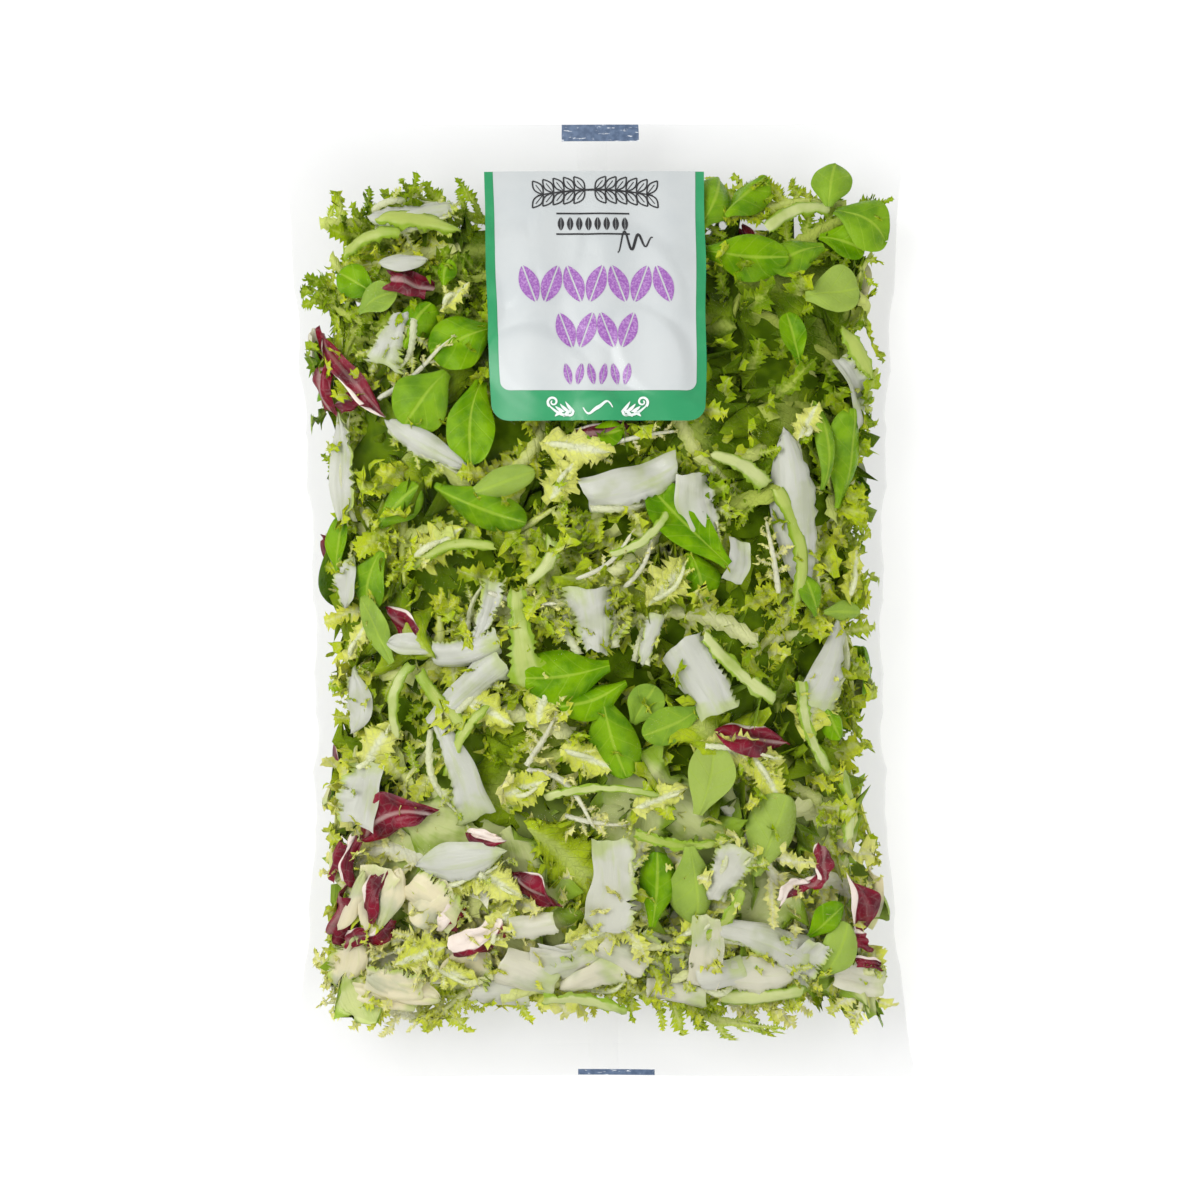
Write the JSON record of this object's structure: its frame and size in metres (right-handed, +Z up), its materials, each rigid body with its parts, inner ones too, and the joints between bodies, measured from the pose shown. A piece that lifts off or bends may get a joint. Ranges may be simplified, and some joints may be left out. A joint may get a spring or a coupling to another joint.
{
  "type": "bag of salad leaves",
  "caption": "Sealed clear pillow bag of mixed salad leaves, lying on its back: a swollen film tube with a flat seal at each end and a printed front panel.",
  "frame": {"origin": "on the table that the bag lies on, under the middle of its box", "axes": "+Z up out of the printed front, +Y along the bag to its top seal, +X to the right of the print"},
  "size_m": [0.2531, 0.382, 0.077],
  "materials": {
    "bag": "clear glossy film over mixed green leaves",
    "label": "white and green print on film",
    "film": "clear glossy film",
    "print_blue": "worn slate blue print on film",
    "curly_endive": "crisp curled light green leaf",
    "pale_endive": "crisp curled butter yellow heart leaf",
    "white_rib": "wet white leaf rib",
    "lambs_lettuce": "smooth satin green leaf",
    "radicchio": "satin dark red leaf with white ribs"
  },
  "bodies": {
    "root": {"bag": "bag", "label": "label"}
  },
  "joints": []
}
